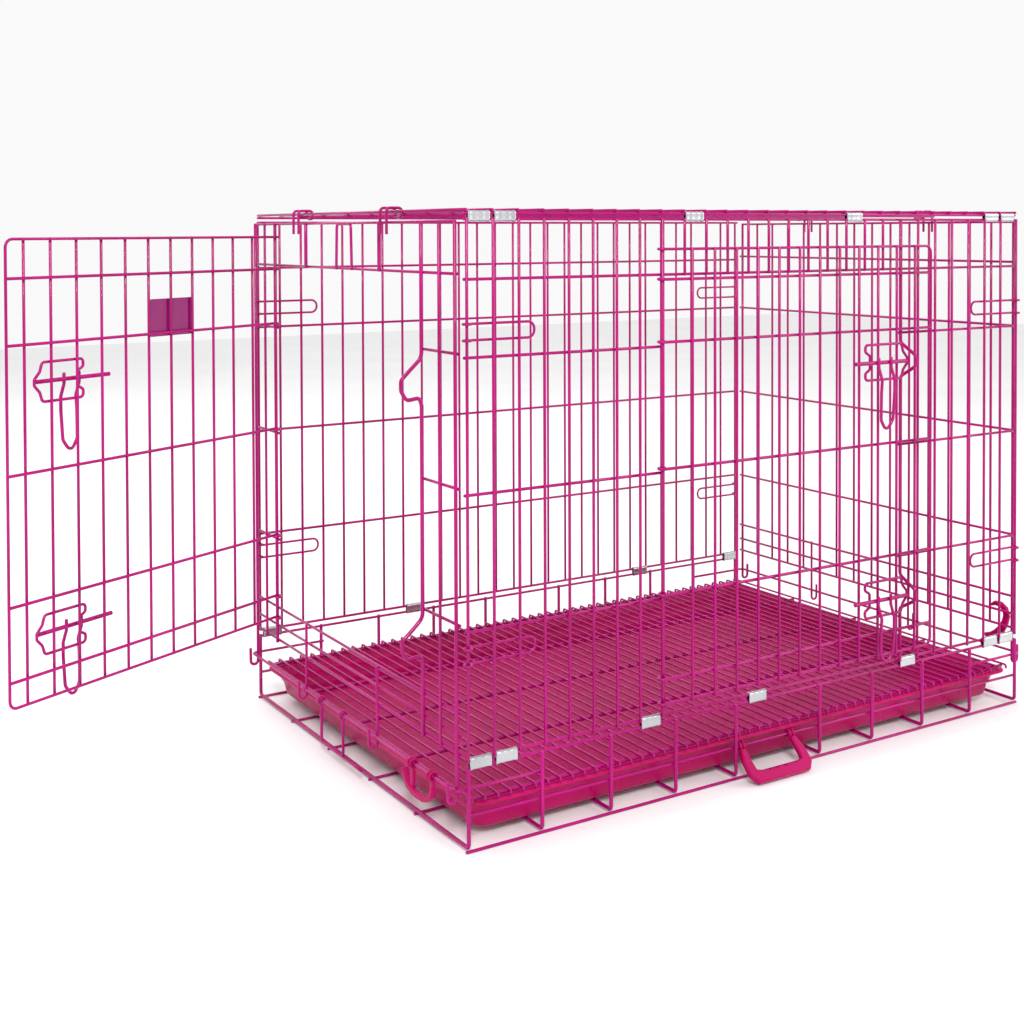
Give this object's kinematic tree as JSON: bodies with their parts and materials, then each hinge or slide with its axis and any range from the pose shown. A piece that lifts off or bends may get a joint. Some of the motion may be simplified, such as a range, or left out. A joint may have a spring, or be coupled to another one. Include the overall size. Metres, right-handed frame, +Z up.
{
  "type": "wire dog crate",
  "caption": "Rectangular folding wire pet crate with hinged end and side doors, slide-bolt latches, pull-out tray and raised wire mesh floor.",
  "frame": {"origin": "middle of the front bottom rail, on its underside at floor level", "axes": "+X along the long side to the right end, +Y from the front to the back, +Z up"},
  "size_m": [1.1197, 0.5345, 0.5931],
  "materials": {
    "pink_wire": "gloss",
    "zinc_steel": "satin",
    "tray_plastic": "matte",
    "pink_plastic": "gloss",
    "plate_paint": "gloss"
  },
  "bodies": {
    "base": {"base_frame": "pink_wire", "sleeve_front_low_1": "zinc_steel", "sleeve_front_low_2": "zinc_steel", "sleeve_front_low_3": "zinc_steel", "sleeve_front_low_4": "zinc_steel", "sleeve_front_low_5": "zinc_steel", "sleeve_front_low_6": "zinc_steel", "sleeve_front_low_7": "zinc_steel", "sleeve_back_low_1": "zinc_steel", "sleeve_back_low_2": "zinc_steel", "sleeve_back_low_3": "zinc_steel", "sleeve_back_low_4": "zinc_steel"},
    "tray": {"tray": "tray_plastic"},
    "floor_grid": {"floor_grid": "pink_wire"},
    "tray_stop": {"tray_stop": "pink_wire"},
    "carry_handle": {"carry_handle": "pink_plastic"},
    "claw_hook": {"claw_hook": "pink_plastic"},
    "front_panel": {"front_panel": "pink_wire", "sleeve_top_1": "zinc_steel", "sleeve_top_2": "zinc_steel", "sleeve_top_3": "zinc_steel", "sleeve_top_4": "zinc_steel", "sleeve_top_5": "zinc_steel", "sleeve_top_6": "zinc_steel"},
    "roof_panel": {"roof_panel": "pink_wire", "hairpin_left_1": "pink_wire", "hairpin_left_2": "pink_wire", "hairpin_right_1": "pink_wire", "hairpin_right_2": "pink_wire"},
    "back_panel": {"back_panel": "pink_wire"},
    "left_end": {"left_end_panel": "pink_wire"},
    "right_end": {"right_end_panel": "pink_wire", "s_hook": "pink_plastic"},
    "end_door": {"end_door": "pink_wire", "name_plate": "plate_paint", "end_ring_upper": "pink_wire", "end_ring_lower": "pink_wire"},
    "side_door": {"side_door": "pink_wire", "side_ring_upper": "pink_wire", "side_ring_lower": "pink_wire"},
    "side_bolt_upper": {"side_bolt_upper": "pink_wire"},
    "side_loop_upper": {"side_loop_upper": "pink_wire"},
    "side_bolt_lower": {"side_bolt_lower": "pink_wire"},
    "side_loop_lower": {"side_loop_lower": "pink_wire"},
    "end_bolt_upper": {"end_bolt_upper": "pink_wire"},
    "end_loop_upper": {"end_loop_upper": "pink_wire"},
    "end_bolt_lower": {"end_bolt_lower": "pink_wire"},
    "end_loop_lower": {"end_loop_lower": "pink_wire"},
    "loop_front_left_upper": {"loop_front_left_upper": "pink_wire"},
    "loop_front_left_lower": {"loop_front_left_lower": "pink_wire"},
    "loop_front_right_upper": {"loop_front_right_upper": "pink_wire"},
    "loop_front_right_lower": {"loop_front_right_lower": "pink_wire"},
    "loop_back_left_upper": {"loop_back_left_upper": "pink_wire"},
    "loop_back_left_lower": {"loop_back_left_lower": "pink_wire"},
    "loop_back_right_upper": {"loop_back_right_upper": "pink_wire"},
    "loop_back_right_lower": {"loop_back_right_lower": "pink_wire"}
  },
  "joints": [
    {"name": "tray_slide", "type": "slide", "parent": "base", "child": "tray", "axis": [1, 0, 0], "range_m": [0, 0.7]},
    {"name": "floor_lift", "type": "slide", "parent": "base", "child": "floor_grid", "axis": [0, 0, 1], "range_m": [0, 0.02]},
    {"name": "tray_stop_swing", "type": "hinge", "parent": "base", "child": "tray_stop", "pos_m": [-0.3896, 0.2715, 0.058], "axis": [0, 1, 0], "range_deg": [0, 100]},
    {"name": "carry_handle_swing", "type": "hinge", "parent": "base", "child": "carry_handle", "pos_m": [0, 0.0034, 0.033], "axis": [-1, 0, 0], "range_deg": [0, 80]},
    {"name": "claw_hook_swing", "type": "hinge", "parent": "base", "child": "claw_hook", "pos_m": [-0.3896, 0.069, 0.058], "axis": [0, 1, 0], "range_deg": [0, 80]},
    {"name": "front_fold", "type": "hinge", "parent": "base", "child": "front_panel", "pos_m": [0, 0.0034, 0.0844], "axis": [1, 0, 0], "range_deg": [0, 90]},
    {"name": "roof_lift", "type": "hinge", "parent": "front_panel", "child": "roof_panel", "pos_m": [0, 0.0034, 0.5845], "axis": [1, 0, 0], "range_deg": [0, 90]},
    {"name": "back_fold", "type": "hinge", "parent": "base", "child": "back_panel", "pos_m": [0, 0.5006, 0.0844], "axis": [-1, 0, 0], "range_deg": [0, 90]},
    {"name": "left_end_tilt", "type": "hinge", "parent": "base", "child": "left_end", "pos_m": [-0.3896, 0.252, 0.058], "axis": [0, -1, 0], "range_deg": [-12, 0]},
    {"name": "right_end_fold", "type": "hinge", "parent": "base", "child": "right_end", "pos_m": [0.3896, 0.252, 0.058], "axis": [0, 1, 0], "range_deg": [-89, 0]},
    {"name": "end_door_swing", "type": "hinge", "parent": "left_end", "child": "end_door", "pos_m": [-0.385, 0.433, 0.339], "axis": [0, 0, -1], "range_deg": [-63.7, 85]},
    {"name": "side_door_swing", "type": "hinge", "parent": "front_panel", "child": "side_door", "pos_m": [-0.154, 0, 0.323], "axis": [0, 0, 1], "range_deg": [-120, 0]},
    {"name": "side_bolt_upper_slide", "type": "slide", "parent": "side_door", "child": "side_bolt_upper", "axis": [1, 0, 0], "range_m": [0, 0.02]},
    {"name": "side_loop_upper_swing", "type": "hinge", "parent": "side_bolt_upper", "child": "side_loop_upper", "pos_m": [0.137, -0.016, 0.423], "axis": [-1, 0, 0], "range_deg": [-4, 100]},
    {"name": "side_bolt_lower_slide", "type": "slide", "parent": "side_door", "child": "side_bolt_lower", "axis": [1, 0, 0], "range_m": [0, 0.02]},
    {"name": "side_loop_lower_swing", "type": "hinge", "parent": "side_bolt_lower", "child": "side_loop_lower", "pos_m": [0.137, -0.016, 0.1625], "axis": [-1, 0, 0], "range_deg": [-4, 100]},
    {"name": "end_bolt_upper_slide", "type": "slide", "parent": "end_door", "child": "end_bolt_upper", "axis": [-0.8965, -0.4431, 0], "range_m": [0, 0.032]},
    {"name": "end_loop_upper_swing", "type": "hinge", "parent": "end_bolt_upper", "child": "end_loop_upper", "pos_m": [-0.6458, 0.32195, 0.4225], "axis": [0.8965, 0.4431, 0], "range_deg": [-4, 100]},
    {"name": "end_bolt_lower_slide", "type": "slide", "parent": "end_door", "child": "end_bolt_lower", "axis": [-0.8965, -0.4431, 0], "range_m": [0, 0.032]},
    {"name": "end_loop_lower_swing", "type": "hinge", "parent": "end_bolt_lower", "child": "end_loop_lower", "pos_m": [-0.6458, 0.32195, 0.1755], "axis": [0.8965, 0.4431, 0], "range_deg": [-4, 100]},
    {"name": "loop_front_left_upper_swing", "type": "hinge", "parent": "front_panel", "child": "loop_front_left_upper", "pos_m": [-0.378, 0, 0.476], "axis": [0, 0, 1], "range_deg": [0, 62]},
    {"name": "loop_front_left_lower_swing", "type": "hinge", "parent": "front_panel", "child": "loop_front_left_lower", "pos_m": [-0.378, 0, 0.18], "axis": [0, 0, 1], "range_deg": [0, 62]},
    {"name": "loop_front_right_upper_swing", "type": "hinge", "parent": "front_panel", "child": "loop_front_right_upper", "pos_m": [0.378, 0, 0.476], "axis": [0, 0, -1], "range_deg": [0, 62]},
    {"name": "loop_front_right_lower_swing", "type": "hinge", "parent": "front_panel", "child": "loop_front_right_lower", "pos_m": [0.378, 0, 0.18], "axis": [0, 0, -1], "range_deg": [0, 62]},
    {"name": "loop_back_left_upper_swing", "type": "hinge", "parent": "back_panel", "child": "loop_back_left_upper", "pos_m": [-0.378, 0.504, 0.476], "axis": [0, 0, -1], "range_deg": [0, 62]},
    {"name": "loop_back_left_lower_swing", "type": "hinge", "parent": "back_panel", "child": "loop_back_left_lower", "pos_m": [-0.378, 0.504, 0.18], "axis": [0, 0, -1], "range_deg": [0, 62]},
    {"name": "loop_back_right_upper_swing", "type": "hinge", "parent": "back_panel", "child": "loop_back_right_upper", "pos_m": [0.378, 0.504, 0.476], "axis": [0, 0, 1], "range_deg": [0, 62]},
    {"name": "loop_back_right_lower_swing", "type": "hinge", "parent": "back_panel", "child": "loop_back_right_lower", "pos_m": [0.378, 0.504, 0.18], "axis": [0, 0, 1], "range_deg": [0, 62]}
  ]
}
